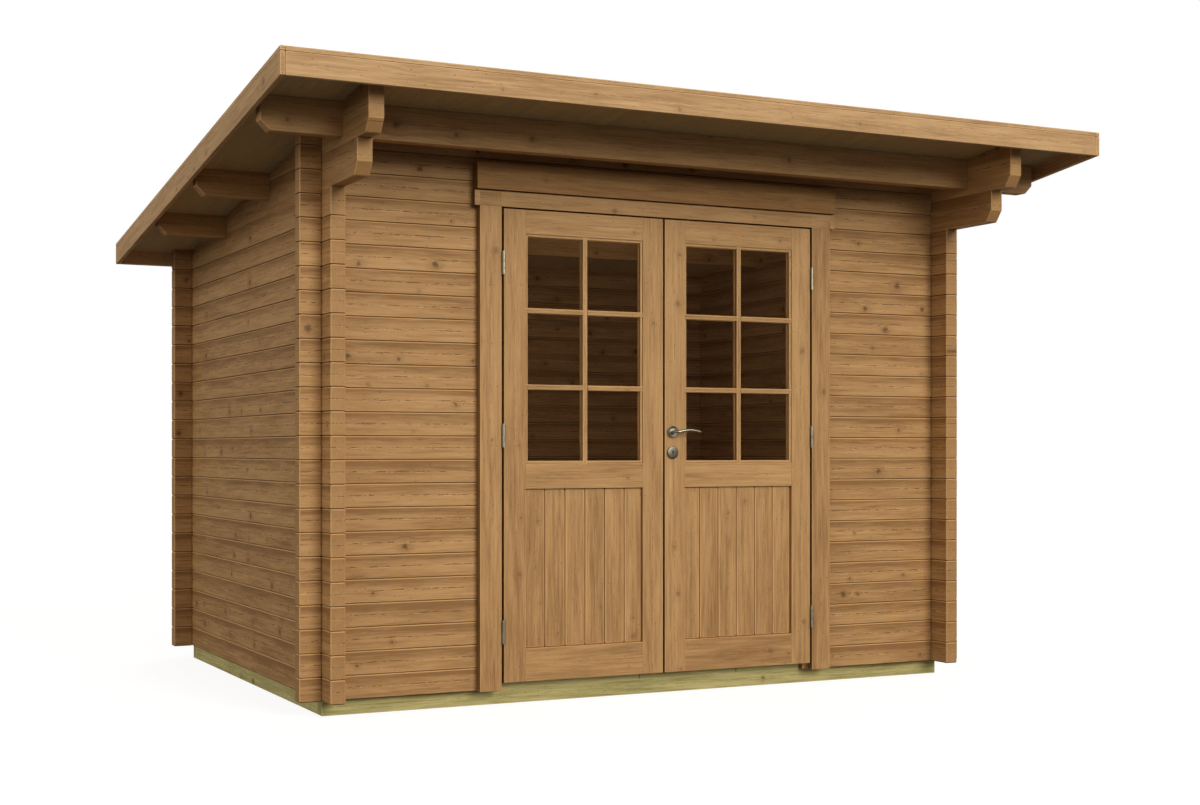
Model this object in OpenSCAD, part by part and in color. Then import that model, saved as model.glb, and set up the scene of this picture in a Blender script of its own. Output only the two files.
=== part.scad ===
// Log-built garden shed with a pent roof and a glazed double door.
// Millimetres. X runs along the front, Y from the front to the back, Z up.
// The origin is on the ground at the middle of the walls' plan.

/* [Walls] */
// Length of the front and back walls over the side walls' outer faces
wall_span_x = 2990; // [2600:10:3600]
// Depth of the shed over the front and back walls' outer faces
wall_span_y = 2212; // [2000:4:2600]
// Thickness of the wall logs
log_t = 60; // [44:1:70]
// Height that one wall log adds
log_h = 94; // [90:0.5:98]
// Number of front logs that the doorway takes up
door_logs = 22; // [22:1:22]
// How far the front and back walls' log ends pass the side walls
ext_x = 90; // [60:1:130]
// How far the side walls' log ends pass the front wall
ext_front = 112; // [80:1:130]
// Top of the side walls' plain logs, under the corbel logs
side_top = 2056; // [1990:1:2070]
// Joint between the lower and the upper corbel log
corbel_joint = 2193; // [2150:1:2200]

/* [Base and floor] */
// Height of the treated base beams
base_h = 63; // [60:1:66]
// Width of the treated base beams
base_w = 60; // [45:1:70]
// How far the base beams' outer faces stand back from the side walls' faces
base_inset_x = 11; // [5:1:20]
// How far the base beams' outer faces stand back from the front wall's face
base_inset_y = 39; // [10:1:45]
// Thickness of the floor boards
floor_t = 19; // [16:1:28]
// Width of a floor joist
joist_w = 45; // [36:1:60]
// Distance between the joists' centres
joist_pitch = 475; // [400:5:500]

/* [Roof] */
// Roof length over the side fascias
roof_x = 3700; // [3400:10:4400]
// Front fascia's outer face, in front of the plan's middle
roof_front = 1763; // [1700:1:1850]
// Back fascia's outer face, behind the plan's middle
roof_back = 1157; // [1150:1:1300]
// Top edge of the front fascia above the ground
roof_front_top = 2444; // [2420:1:2500]
// Fall of the roof from front to back, in degrees
roof_pitch = 7.32; // [6:0.02:8]
// Height of the fascia boards
fascia_h = 103; // [90:1:130]
// Thickness of the fascia boards
fascia_t = 20; // [16:1:25]
// Depth of the felt's surface below the fascia's top edge
felt_drop = 17; // [10:1:20]
// Thickness of the roofing felt
felt_t = 4; // [3:1:5]
// Thickness of the roof boards
roof_board_t = 19; // [16:1:22]

/* [Corbels and purlins] */
// Front end of the lower corbel logs, in front of the plan's middle
lower_corbel_front = 1535; // [1450:1:1600]
// Front end of the upper corbel logs, in front of the plan's middle
upper_corbel_front = 1664; // [1600:1:1700]
// Length of the chamfer under a corbel's end
corbel_chamfer_y = 37; // [20:1:60]
// Height of the chamfer under a corbel's end
corbel_chamfer_z = 50; // [20:1:60]
// Thickness of the purlins
purlin_t = 64; // [50:1:75]
// Purlins' ends, from the plan's middle
purlin_end = 1810; // [1750:1:1825]
// Side of the chamfer under a purlin's end
purlin_chamfer = 38; // [20:1:50]
// Underside of the front purlin
front_purlin_z = 2221; // [2210:1:2235]
// Underside of the middle purlin
middle_purlin_z = 2114; // [2100:1:2125]
// Underside of the rear purlin
rear_purlin_z = 2032; // [2020:1:2040]

/* [Door frame] */
// Half the width of the opening between the side trims
door_half = 750; // [700:1:760]
// Underside of the head trim
door_top = 2032; // [1950:1:2036]
// Distance of the door's front face in front of the wall's face
door_proud = 36; // [30:1:44]
// Width of the side trims
trim_w = 96; // [80:1:110]
// Half the length of the head trim
head_trim_half = 868; // [850:1:880]
// Height of the head trim
head_trim_h = 62; // [50:1:70]
// Half the length of the drip board
drip_half = 864; // [850:1:880]
// Height of the drip board
drip_h = 110; // [80:1:120]
// Width of the door stop behind the leaves' edges
stop_w = 20; // [12:1:25]
// Width of a jamb
jamb_w = 50; // [40:1:60]
// Height of the threshold above the base beam
threshold_h = 30; // [20:1:32]

/* [Door leaves] */
// Thickness of a leaf
leaf_t = 40; // [36:1:44]
// Gap between a leaf and the frame
side_gap = 10; // [6:0.5:12]
// Gap between the two leaves
middle_gap = 9; // [8.5:0.5:12]
// Underside of the leaves
leaf_bottom = 94.5; // [94:0.5:100]
// Width of a stile
stile_w = 97; // [85:1:110]
// Height of the top rail
top_rail_h = 98; // [80:1:110]
// Underside of the middle rail
middle_rail_z = 883; // [850:1:920]
// Height of the middle rail
middle_rail_h = 104; // [90:1:120]
// Height of the bottom rail
bottom_rail_h = 136; // [120:1:150]
// Width of the glazing bars
bar_w = 22; // [18:1:26]
// Width of the glazing beads
bead_w = 11; // [8:1:14]
// Thickness of the glass
glass_t = 4; // [3:1:4]
// Recess of the boarded panel behind the leaf's face
panel_recess = 14; // [10:1:16]
// Thickness of the boarded panel
panel_t = 18; // [15:1:20]

/* [Hardware] */
// Length of a hinge barrel
hinge_l = 97; // [80:1:110]
// Radius of a hinge barrel
hinge_r = 6.5; // [5:0.5:7]
// Radius of a hinge pin
pin_r = 3.5; // [3:0.5:4]
// Heights of the hinges' middles
hinge_z = [301.5, 1101, 1804];
// Distance of the handle's axis from the plan's middle
handle_x = 40; // [38:1:60]
// Height of the handle's axis
handle_z = 1120; // [1080:1:1150]
// Height of the keyhole
keyhole_z = 1031; // [1020:1:1060]
// Radius of the roses
rose_r = 26; // [24:1:27]
// Thickness of the roses
rose_t = 8; // [6:1:10]
// Length of the lever from its axis to its tip
lever_l = 114; // [100:1:120]
// Distance of the lever's middle from the leaf's face
lever_proud = 44; // [40:1:50]

/* [Hidden] */

// Wall faces
wall_x = wall_span_x / 2;
wall_y = wall_span_y / 2;
inner_x = wall_x - log_t;
inner_y = wall_y - log_t;
side_front = -wall_y - ext_front;
side_back = roof_back - fascia_t;

// Base and floor
base_x = wall_x - base_inset_x;
base_y = wall_y - base_inset_y;
floor_gap = 2;
floor_top = base_h + floor_t;

// Roof
board_drop = felt_drop + felt_t;
soffit_drop = board_drop + roof_board_t;
seat_gap = 0.3;
seat_drop = soffit_drop + seat_gap;
roof_side = roof_x / 2;
roof_in_front = -roof_front + fascia_t;
roof_in_back = roof_back - fascia_t;

// Purlins: front face of each, front to back
front_purlin_y = -1364;
middle_purlin_y = -367;
rear_purlin_y = 366;
notch_gap = 1;
taper_end = 3;

// Door frame
door_front = -wall_y - door_proud;
leaf_back = door_front + leaf_t;
stop_gap = 6;
frame_gap = 3;
stop_front = leaf_back + stop_gap;
frame_out = door_half + jamb_w - stop_w;
head_bottom = door_top - stop_w;
head_top = base_h + door_logs * log_h - frame_gap;
trim_lift = 1;
trim_bottom = base_h + trim_lift;
drip_gap = 3;
drip_bottom = door_top + head_trim_h + drip_gap;
drip_proud = 18;

// Leaves: inner end, outer end and top
leaf_in = middle_gap / 2;
leaf_out = door_half - side_gap;
leaf_top_gap = 7;
leaf_top = door_top - leaf_top_gap;
bar_recess = 1.5;
bead_recess = 5;
glass_front = door_front + (leaf_t - glass_t) / 2;
glass_back = glass_front + glass_t;
sight_bottom = middle_rail_z + middle_rail_h;
sight_top = leaf_top - top_rail_h;
sight_in = leaf_in + stile_w;
sight_out = leaf_out - stile_w;
panel_bottom = leaf_bottom + bottom_rail_h;

// Hinges: axis, plate and running clearances
hinge_x = door_half - side_gap / 2;
hinge_y = door_front - 8;
plate_t = 2;
plate_l = 34;
pin_gap = 0.05;
knuckle_gap = 1;
pin_l = 34;

// Handle
neck_r = 8;
neck_gap = 0.1;
spindle_r = 5;
spindle_hole_r = 11;
cylinder_hole_r = 9;
lever_t = 11;
lever_root_w = 15;
lever_tip_w = 9;
lever_rise = 7;
lever_steps = 12;

HONEY = "#B5835A";
TREATED = "#8F8550";
FELT = "#4A4A48";
STEEL = "#A9A89F";
PANE = "#3A2A18";
FINE = 48;

// Height of a plane that lies a drop below the fascia's top edge, at one depth
function roof_z(y, drop) = roof_front_top - drop - (y + roof_front) * tan(roof_pitch);
// Depth at which that plane has come down to one height
function roof_y(z, drop) = (roof_front_top - drop - z) / tan(roof_pitch) - roof_front;
function soffit(y) = roof_z(y, seat_drop);

// Box between two corners
module block(low, high) {
    translate(low) cube(high - low);
}

// Outline in Y and Z, run along X from one place to another
module prism_x(outline, from, to) {
    translate([from, 0, 0])
        rotate([90, 0, 90])
            linear_extrude(to - from)
                polygon(outline);
}

// The same shape on both sides of the plan's middle
module both_sides() {
    children();
    mirror([1, 0, 0]) children();
}

// Piece between two depths that follows the roof's fall, top and bottom
module sloped(y0, y1, top_drop, bottom_drop, x0, x1) {
    prism_x([
        [y0, roof_z(y0, bottom_drop)],
        [y1, roof_z(y1, bottom_drop)],
        [y1, roof_z(y1, top_drop)],
        [y0, roof_z(y0, top_drop)]
    ], x0, x1);
}

// Wall slab across the shed, from a level bottom up to the roof boards
module cross_wall(y0, y1, z0, x0, x1) {
    prism_x([[y0, z0], [y1, z0], [y1, soffit(y1)], [y0, soffit(y0)]], x0, x1);
}

// Purlin: chamfered under its ends, its top planed to the roof boards
module purlin(y0, z0) {
    top = soffit(y0) + 1;
    difference() {
        translate([0, y0 + purlin_t, 0])
            rotate([90, 0, 0])
                linear_extrude(purlin_t)
                    polygon([
                        [purlin_chamfer - purlin_end, z0],
                        [purlin_end - purlin_chamfer, z0],
                        [purlin_end, z0 + purlin_chamfer],
                        [purlin_end, top],
                        [-purlin_end, top],
                        [-purlin_end, z0 + purlin_chamfer]
                    ]);
        sloped(y0 - 1, y0 + purlin_t + 1, 0, seat_drop, -roof_side, roof_side);
    }
}

// Space that a purlin takes up where it lies in a notch
module purlin_notch(y0, z0) {
    block([-roof_side, y0 - notch_gap, z0],
          [roof_side, y0 + purlin_t + notch_gap, roof_front_top]);
}

module purlin_notches() {
    purlin_notch(front_purlin_y, front_purlin_z);
    purlin_notch(middle_purlin_y, middle_purlin_z);
    purlin_notch(rear_purlin_y, rear_purlin_z);
}

module base_front_beam() {
    color(TREATED)
        block([-base_x, -base_y, 0], [base_x, base_w - base_y, base_h]);
}

module base_back_beam() {
    color(TREATED)
        block([-base_x, base_y - base_w, 0], [base_x, base_y, base_h]);
}

module base_side_beams() {
    color(TREATED)
        both_sides()
            block([base_x - base_w, base_w - base_y, 0], [base_x, base_y - base_w, base_h]);
}

module floor_joists() {
    color(TREATED)
        for (i = [-2 : 2])
            translate([i * joist_pitch, 0, 0])
                block([-joist_w / 2, base_w - base_y, 0], [joist_w / 2, base_y - base_w, base_h]);
}

module floor_boards() {
    color(HONEY)
        difference() {
            block([floor_gap - inner_x, floor_gap - inner_y, base_h],
                  [inner_x - floor_gap, inner_y - floor_gap, floor_top]);
            block([-frame_out, -wall_y, 0],
                  [frame_out, base_w - base_y + floor_gap, roof_front_top]);
        }
}

// Side wall: plain logs up to the corbel logs, cut to the roof's fall at the back
module side_wall(x0, x1) {
    difference() {
        prism_x([
            [side_front, base_h],
            [side_back, base_h],
            [side_back, soffit(side_back)],
            [roof_y(side_top, seat_drop), side_top],
            [side_front, side_top]
        ], x0, x1);
        purlin_notches();
    }
}

module left_wall() {
    color(HONEY) side_wall(-wall_x, -inner_x);
}

module right_wall() {
    color(HONEY) side_wall(inner_x, wall_x);
}

module back_wall() {
    color(HONEY) {
        cross_wall(inner_y, wall_y, base_h, -inner_x, inner_x);
        both_sides() cross_wall(inner_y, wall_y, base_h, wall_x, wall_x + ext_x);
    }
}

// Front wall beside the doorway, with its log ends outside the side wall
module front_wall_side() {
    block([frame_out + frame_gap, -wall_y, base_h], [inner_x, -inner_y, head_top + frame_gap]);
    block([wall_x, -wall_y, base_h], [wall_x + ext_x, -inner_y, head_top + frame_gap]);
}

module front_wall_left() {
    color(HONEY) mirror([1, 0, 0]) front_wall_side();
}

module front_wall_right() {
    color(HONEY) front_wall_side();
}

module front_wall_top() {
    bottom = head_top + frame_gap;
    color(HONEY) {
        cross_wall(-wall_y, -inner_y, bottom, -inner_x, inner_x);
        both_sides() cross_wall(-wall_y, -inner_y, bottom, wall_x, wall_x + ext_x);
    }
}

// Log on top of a side wall, run forward to carry the roof and tapered to its back end
module corbel(front, bottom, top) {
    back = roof_y(bottom + taper_end, seat_drop);
    prism_x([
        [-front, bottom + corbel_chamfer_z],
        [corbel_chamfer_y - front, bottom],
        [back, bottom],
        [back, bottom + taper_end],
        [roof_y(top, seat_drop), top],
        [-front, top]
    ], inner_x, wall_x);
}

module lower_corbel_logs() {
    color(HONEY)
        both_sides()
            difference() {
                corbel(lower_corbel_front, side_top, corbel_joint);
                purlin_notches();
            }
}

module upper_corbel_logs() {
    color(HONEY)
        both_sides()
            difference() {
                corbel(upper_corbel_front, corbel_joint, soffit(-upper_corbel_front));
                purlin_notches();
            }
}

module front_purlin() {
    color(HONEY) purlin(front_purlin_y, front_purlin_z);
}

module middle_purlin() {
    color(HONEY) purlin(middle_purlin_y, middle_purlin_z);
}

module rear_purlin() {
    color(HONEY) purlin(rear_purlin_y, rear_purlin_z);
}

module roof_boards() {
    color(HONEY)
        sloped(roof_in_front, roof_in_back, board_drop, soffit_drop,
               fascia_t - roof_side, roof_side - fascia_t);
}

module roof_felt() {
    color(FELT)
        sloped(roof_in_front, roof_in_back, felt_drop, board_drop,
               fascia_t - roof_side, roof_side - fascia_t);
}

module front_fascia() {
    color(HONEY) sloped(-roof_front, roof_in_front, 0, fascia_h, -roof_side, roof_side);
}

module back_fascia() {
    color(HONEY) sloped(roof_in_back, roof_back, 0, fascia_h, -roof_side, roof_side);
}

module side_fascias() {
    color(HONEY)
        both_sides()
            sloped(roof_in_front, roof_in_back, 0, fascia_h, roof_side - fascia_t, roof_side);
}

module door_threshold() {
    color(TREATED)
        block([stop_w + 1 - door_half, -base_y, base_h],
              [door_half - stop_w - 1, base_w - base_y, base_h + threshold_h]);
}

// Jamb through the wall, rebated so that the leaf closes against its stop
module door_jambs() {
    color(HONEY)
        both_sides() {
            block([door_half - stop_w, stop_front, base_h], [frame_out, -inner_y, head_bottom]);
            block([door_half, -wall_y, base_h], [frame_out, stop_front, head_bottom]);
        }
}

// Head of the frame, rebated over the leaves like the jambs
module door_frame_head() {
    color(HONEY) {
        block([-frame_out, stop_front, head_bottom], [frame_out, -inner_y, head_top]);
        block([-frame_out, -wall_y, door_top], [frame_out, stop_front, head_top]);
        both_sides()
            block([door_half, -wall_y, head_bottom], [frame_out, stop_front, door_top]);
    }
}

module door_side_trims() {
    color(HONEY)
        both_sides()
            block([door_half, door_front, trim_bottom], [door_half + trim_w, -wall_y, door_top]);
}

module door_head_trim() {
    color(HONEY)
        block([-head_trim_half, door_front, door_top],
              [head_trim_half, -wall_y, door_top + head_trim_h]);
}

module door_drip_board() {
    color(HONEY)
        block([-drip_half, door_front - drip_proud, drip_bottom],
              [drip_half, -wall_y, drip_bottom + drip_h]);
}

// One half of a hinge at the right leaf's outer edge: a knuckle and its plate
module hinge_half(z0, z1, plate_x) {
    translate([hinge_x, hinge_y, z0]) cylinder(h = z1 - z0, r = hinge_r, $fn = FINE);
    block([plate_x, hinge_y, z0], [plate_x + plate_t, hinge_y + plate_l, z1]);
}

// Lower halves, on the frame, with the pins that the leaves turn on
module frame_hinge_leaves() {
    color(STEEL)
        both_sides()
            for (z = hinge_z) {
                low = z - hinge_l / 2;
                hinge_half(low, z, door_half - plate_t);
                translate([hinge_x, hinge_y, z - 1])
                    cylinder(h = pin_l + 1, r = pin_r, $fn = FINE);
            }
}

// Upper halves, on a leaf, bored for the pins
module door_hinge_leaves() {
    for (z = hinge_z)
        difference() {
            hinge_half(z + knuckle_gap, z + hinge_l / 2, leaf_out);
            translate([hinge_x, hinge_y, z])
                cylinder(h = pin_l + 1, r = pin_r + pin_gap, $fn = FINE);
        }
}

module leaf_stiles() {
    block([leaf_in, door_front, leaf_bottom], [sight_in, leaf_back, leaf_top]);
    block([sight_out, door_front, leaf_bottom], [leaf_out, leaf_back, leaf_top]);
}

// Bottom, middle and top rail between the stiles
module leaf_rails() {
    for (rail = [
        [leaf_bottom, bottom_rail_h],
        [middle_rail_z, middle_rail_h],
        [sight_top, top_rail_h]
    ])
        block([sight_in, door_front, rail[0]], [sight_out, leaf_back, rail[0] + rail[1]]);
}

// Beads round the glass and the bars over it, from one depth to another
module bar_grid(y0, y1) {
    sight_w = sight_out - sight_in;
    pane_h = (sight_top - sight_bottom - 2 * bead_w - 2 * bar_w) / 3;
    difference() {
        block([sight_in, y0, sight_bottom], [sight_out, y1, sight_top]);
        for (column = [0, 1])
            for (row = [0 : 2]) {
                pane_w = (sight_w - 2 * bead_w - bar_w) / 2;
                x0 = sight_in + bead_w + column * (pane_w + bar_w);
                z0 = sight_bottom + bead_w + row * (pane_h + bar_w);
                block([x0, y0 - 1, z0], [x0 + pane_w, y1 + 1, z0 + pane_h]);
            }
    }
}

module leaf_glazing_bars() {
    bar_grid(door_front + bar_recess, glass_front);
    bar_grid(glass_back, leaf_back - bar_recess);
}

module leaf_glass() {
    block([sight_in, glass_front, sight_bottom], [sight_out, glass_back, sight_top]);
}

module leaf_panel() {
    y0 = door_front + panel_recess;
    block([sight_in, y0, panel_bottom], [sight_out, y0 + panel_t, middle_rail_z]);
}

module left_door_stiles() {
    color(HONEY) mirror([1, 0, 0]) leaf_stiles();
}

module left_door_rails() {
    color(HONEY) mirror([1, 0, 0]) leaf_rails();
}

module left_door_glazing_bars() {
    color(HONEY) mirror([1, 0, 0]) leaf_glazing_bars();
}

module left_door_glass() {
    color(PANE) mirror([1, 0, 0]) leaf_glass();
}

module left_door_panel() {
    color(HONEY) mirror([1, 0, 0]) leaf_panel();
}

module left_door_hinge_leaves() {
    color(STEEL) mirror([1, 0, 0]) door_hinge_leaves();
}

// The right leaf's inner stile is drilled for the handle and the lock
module right_door_stiles() {
    color(HONEY)
        difference() {
            leaf_stiles();
            cross_hole(handle_x, handle_z, spindle_hole_r);
            cross_hole(handle_x, keyhole_z, cylinder_hole_r);
        }
}

module right_door_rails() {
    color(HONEY) leaf_rails();
}

module right_door_glazing_bars() {
    color(HONEY) leaf_glazing_bars();
}

module right_door_glass() {
    color(PANE) leaf_glass();
}

module right_door_panel() {
    color(HONEY) leaf_panel();
}

module right_door_hinge_leaves() {
    color(STEEL) door_hinge_leaves();
}

// Round bar through the leaf from one depth to another
module cross_bar(x, z, y0, y1, r) {
    translate([x, y1, z]) rotate([90, 0, 0]) cylinder(h = y1 - y0, r = r, $fn = FINE);
}

module cross_hole(x, z, r) {
    cross_bar(x, z, door_front - rose_t - 1, leaf_back + rose_t + 1, r);
}

// A round plate on each face of the leaf
module face_plates(x, z) {
    cross_bar(x, z, door_front - rose_t, door_front, rose_r);
    cross_bar(x, z, leaf_back, leaf_back + rose_t, rose_r);
}

module handle_roses() {
    color(STEEL)
        difference() {
            face_plates(handle_x, handle_z);
            cross_hole(handle_x, handle_z, neck_r + neck_gap);
        }
}

// Keyhole: a round hole over a slot
module keyhole_plates() {
    color(STEEL)
        difference() {
            face_plates(handle_x, keyhole_z);
            cross_hole(handle_x, keyhole_z + 3, 3.5);
            block([handle_x - 1.8, door_front - rose_t - 1, keyhole_z - 9],
                  [handle_x + 1.8, leaf_back + rose_t + 1, keyhole_z + 3]);
        }
}

// Lever's outline: a bar that tapers to a round tip and arches a little
function lever_mid(t) = [t * lever_l, lever_rise * sin(180 * t)];
function lever_half(t) = (lever_root_w * (1 - t) + lever_tip_w * t) / 2;

module lever_outline() {
    steps = [for (i = [0 : lever_steps]) i / lever_steps];
    polygon(concat(
        [for (t = steps) lever_mid(t) + [0, lever_half(t)]],
        [for (i = [0 : lever_steps]) let(t = 1 - i / lever_steps) lever_mid(t) - [0, lever_half(t)]]
    ));
    circle(r = lever_half(0), $fn = FINE);
    translate(lever_mid(1)) circle(r = lever_half(1), $fn = FINE);
}

// Lever with its neck, from its own middle depth back to another depth
module lever(mid_y, neck_y) {
    translate([handle_x, mid_y + lever_t / 2, handle_z])
        rotate([90, 0, 0])
            linear_extrude(lever_t)
                lever_outline();
    cross_bar(handle_x, handle_z, min(mid_y, neck_y), max(mid_y, neck_y), neck_r);
}

// The outer lever carries the spindle, which ends in the inner lever's neck
module outer_lever() {
    color(STEEL) {
        lever(door_front - lever_proud, door_front - 1);
        cross_bar(handle_x, handle_z, door_front - 2, leaf_back, spindle_r);
    }
}

module inner_lever() {
    color(STEEL) lever(leaf_back + lever_proud, leaf_back);
}

base_front_beam();
base_back_beam();
base_side_beams();
floor_joists();
floor_boards();
left_wall();
right_wall();
back_wall();
front_wall_left();
front_wall_right();
front_wall_top();
lower_corbel_logs();
upper_corbel_logs();
front_purlin();
middle_purlin();
rear_purlin();
roof_boards();
roof_felt();
front_fascia();
back_fascia();
side_fascias();
door_threshold();
door_jambs();
door_frame_head();
door_side_trims();
door_head_trim();
door_drip_board();
frame_hinge_leaves();
left_door_stiles();
left_door_rails();
left_door_glazing_bars();
left_door_glass();
left_door_panel();
left_door_hinge_leaves();
right_door_stiles();
right_door_rails();
right_door_glazing_bars();
right_door_glass();
right_door_panel();
right_door_hinge_leaves();
handle_roses();
keyhole_plates();
outer_lever();
inner_lever();
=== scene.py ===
import math
import random
from functools import partial

import bmesh
import bpy
from bpy.props import FloatProperty, FloatVectorProperty, PointerProperty
from mathutils import Matrix, Vector


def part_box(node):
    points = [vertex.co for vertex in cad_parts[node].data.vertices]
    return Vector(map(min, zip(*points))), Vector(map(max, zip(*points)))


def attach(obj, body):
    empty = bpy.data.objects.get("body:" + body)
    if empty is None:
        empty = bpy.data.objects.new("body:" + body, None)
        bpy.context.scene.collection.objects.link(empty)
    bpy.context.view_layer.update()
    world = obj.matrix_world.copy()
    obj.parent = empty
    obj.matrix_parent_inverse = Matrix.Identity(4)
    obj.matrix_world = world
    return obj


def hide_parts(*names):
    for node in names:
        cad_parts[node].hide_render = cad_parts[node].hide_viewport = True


bl_info = {
    "name": "Log Garden Shed",
    "version": (1, 0, 0),
    "blender": (4, 5, 0),
    "location": "View3D > Sidebar > Shed",
    "description": "Dresses the packed shed with logs, boards, mouldings, ironmongery and finishes",
    "category": "Object",
}

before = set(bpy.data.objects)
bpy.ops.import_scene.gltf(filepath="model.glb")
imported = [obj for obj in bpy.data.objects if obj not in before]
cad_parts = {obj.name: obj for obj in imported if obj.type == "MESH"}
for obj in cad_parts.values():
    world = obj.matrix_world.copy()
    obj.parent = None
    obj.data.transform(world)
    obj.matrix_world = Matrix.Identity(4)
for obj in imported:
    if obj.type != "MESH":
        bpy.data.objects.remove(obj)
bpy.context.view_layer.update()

MM = 0.001

# Directions in the shed's own frame
RIGHT = Vector((1, 0, 0))
BACK = Vector((0, 1, 0))
FRONT = -BACK
UP = Vector((0, 0, 1))
ROOF_PITCH = math.radians(7.32)
ROOF_UP = Vector((0, math.sin(ROOF_PITCH), math.cos(ROOF_PITCH)))
ROOF_ALONG = Vector((0, math.cos(ROOF_PITCH), -math.sin(ROOF_PITCH)))

# How a board lies: the way its grain runs, and the way its best face looks
LEVEL_FRONT = (RIGHT, FRONT)
UPRIGHT_FRONT = (UP, FRONT)
LEVEL_TOP = (RIGHT, UP)
DEEP_SIDE = (BACK, RIGHT)

# Tolerances for joining and comparing points and directions
WELD = 0.02 * MM
ON_CUT = 0.05 * MM
FLAT_ANGLE = math.radians(0.5)
SHARP_ANGLE = math.radians(25)
RIM_ANGLE = math.radians(60)
FACING = 0.9
FLAT_ON = 0.99
LEAST_END_GRAIN = 0.6

# The least rounding that a sanded board gets
ARRIS = 0.8 * MM
# How many times its rounding an edge beside a rounded one has to measure
ROOM_TO_ROUND = 2.5
# How pale an eased edge is painted, from 0 to 1: partly thinner stain on the sanded edge and partly a
# painted highlight where the edge catches light
EASED_WEAR_AND_HIGHLIGHT = 0.6

# Kept well under float glass's own 1.52, so that the panes show the dark room and not the studio
GLASS_INDEX = 1.08

# What pieces are made of: the name of the finish, and of the slot
LOG = ("stained_spruce_logs", "wall_logs")
PURLIN = ("stained_spruce_beams", "roof_timber")
ROOF_BOARD = ("shaded_roof_spruce", "roof_timber")
FASCIA = ("pale_stained_spruce", "fascia_timber")
FLOOR_BOARD = ("unstained_spruce_floor", "floor_timber")
TREATED = ("pressure_treated_pine", "treated_timber")
FRAME_BOARD = ("stained_spruce_boards", "frame_timber")
# The drip board's darker finish is painted shade
DRIP_BOARD = ("deep_stained_spruce", "frame_timber")
DOOR_BOARD = ("stained_spruce_boards", "door_timber")
FELT = ("mineral_roofing_felt", "roofing_felt")
SATIN = ("satin_stainless_steel", "satin_steel")
# The darker steel is painted shade
SHADED_STEEL = ("dull_stainless_steel", "satin_steel")

LEAVES = (("left", -1), ("right", 1))


def linear(hex_colour):
    """An sRGB hex colour as linear red, green and blue."""
    parts = [int(hex_colour[i : i + 2], 16) / 255 for i in (1, 3, 5)]
    return [c / 12.92 if c <= 0.04045 else ((c + 0.055) / 1.055) ** 2.4 for c in parts]


# ---- settings


def length_setting(name, description, millimetres):
    """A length that the user can change, given in millimetres."""
    length = millimetres * MM
    return FloatProperty(name=name, description=description, default=length, min=0, unit="LENGTH")


def colour_setting(name, description, hex_colour):
    """A colour that the user can change, given as sRGB hex."""
    colour = linear(hex_colour)
    return FloatVectorProperty(
        name=name, description=description, default=colour, size=3, min=0, max=1, subtype="COLOR"
    )


def light_setting(name, description, strength, unit="NONE"):
    """A light's strength, which the user can change."""
    return FloatProperty(name=name, description=description, default=strength, min=0, unit=unit)


class ShedJoinery(bpy.types.PropertyGroup):
    """Sizes of the shed's logs, boards, joints and mouldings"""

    log_height: length_setting("Log height", "Height that one wall log adds", 94)
    log_joint: length_setting("Log joint", "Chamfer on each side of the joint between two logs", 4)
    beam_edge: length_setting("Beam edge", "Easing along corbel logs, purlins and base beams", 3)
    board_edge: length_setting("Board edge", "Rounding along trims, stiles and rails", 2.5)
    board_joint: length_setting("Board joint", "Chamfer on each side of the fascias' joints", 3.5)
    panel_joint: length_setting("Panel joint", "Rounding on each side of the door panels' joints", 6.5)
    roof_board: length_setting("Roof board", "Width of one roof board", 96)
    floor_board: length_setting("Floor board", "Width of one floor board", 95)
    panel_board: length_setting("Panel board", "Width of one board in a door's lower panel", 92)
    top_strip: length_setting("Top strip", "Height of the strip along the fascias' top edges", 18)
    trim_width: length_setting("Trim width", "Width of the door's side trims", 96)
    bead: length_setting("Bead", "Width of the glazing beads", 11)
    bar: length_setting("Bar", "Width of the glazing bars", 22)
    felt_lap: length_setting("Felt lap", "Width of the lap between two felt sheets", 75)


class ShedFinish(bpy.types.PropertyGroup):
    """Colours of the shed's woods, felt, steel and glass"""

    stain_light: colour_setting("Stain, light", "Pale earlywood under the stain", "#C59A6B")
    stain_mid: colour_setting("Stain, middle", "Usual colour of the stained spruce", "#B08557")
    stain_dark: colour_setting("Stain, dark", "Latewood and blotches under the stain", "#8A6139")
    knot: colour_setting("Knot", "Knots in the spruce", "#5A3A1E")
    pale_light: colour_setting("Pale stain, light", "Pale earlywood of the fascias", "#D9B288")
    pale_mid: colour_setting("Pale stain, middle", "Usual colour of the fascias", "#C39A70")
    pale_dark: colour_setting("Pale stain, dark", "Latewood and blotches of the fascias", "#9D764D")
    soffit_light: colour_setting("Roof boards, light", "Pale grain of the roof boards", "#BD9F70")
    soffit_mid: colour_setting("Roof boards", "Usual colour of the roof boards", "#B1956A")
    soffit_dark: colour_setting("Roof boards, dark", "Dark grain of the roof boards", "#A58A62")
    floor: colour_setting("Floor", "Unstained spruce floor boards", "#C8A878")
    treated_light: colour_setting("Treated, light", "Pressure-treated pine, pale grain", "#D3C592")
    treated_mid: colour_setting("Treated, middle", "Pressure-treated pine", "#BBAD76")
    treated_dark: colour_setting("Treated, dark", "Pressure-treated pine, dark grain", "#8E8350")
    felt: colour_setting("Felt", "Mineral-faced roofing felt", "#4A4A48")
    steel: colour_setting("Steel", "Satin stainless steel", "#A8A294")
    glass: colour_setting("Glass", "Clear float glass", "#FFFAF0")


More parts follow.
